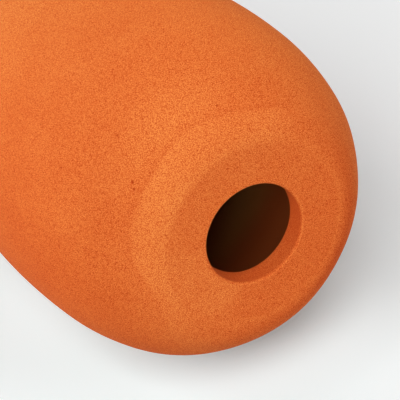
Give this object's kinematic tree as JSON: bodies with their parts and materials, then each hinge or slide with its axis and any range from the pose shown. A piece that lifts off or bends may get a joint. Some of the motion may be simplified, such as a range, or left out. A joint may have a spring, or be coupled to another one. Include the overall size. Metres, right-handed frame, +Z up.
{
  "type": "terracotta watering spike",
  "caption": "Hollow fired-clay spike with a domed head, a round filling mouth in a flat ring, and a long side that tapers to a closed, rounded tip.",
  "frame": {"origin": "centre of the bounding box at the height of the surface that the spike lies on", "axes": "+Z up; +X along the lying spike, from the tip towards the mouth; the spike's own axis rises 11.9 degrees towards the mouth, in the XZ plane"},
  "size_m": [0.1998, 0.0698, 0.0744],
  "materials": {
    "terracotta": "unglazed fired clay, matt, with a fine sandy grain"
  },
  "bodies": {
    "root": {"clay_spike": "terracotta"}
  },
  "joints": []
}
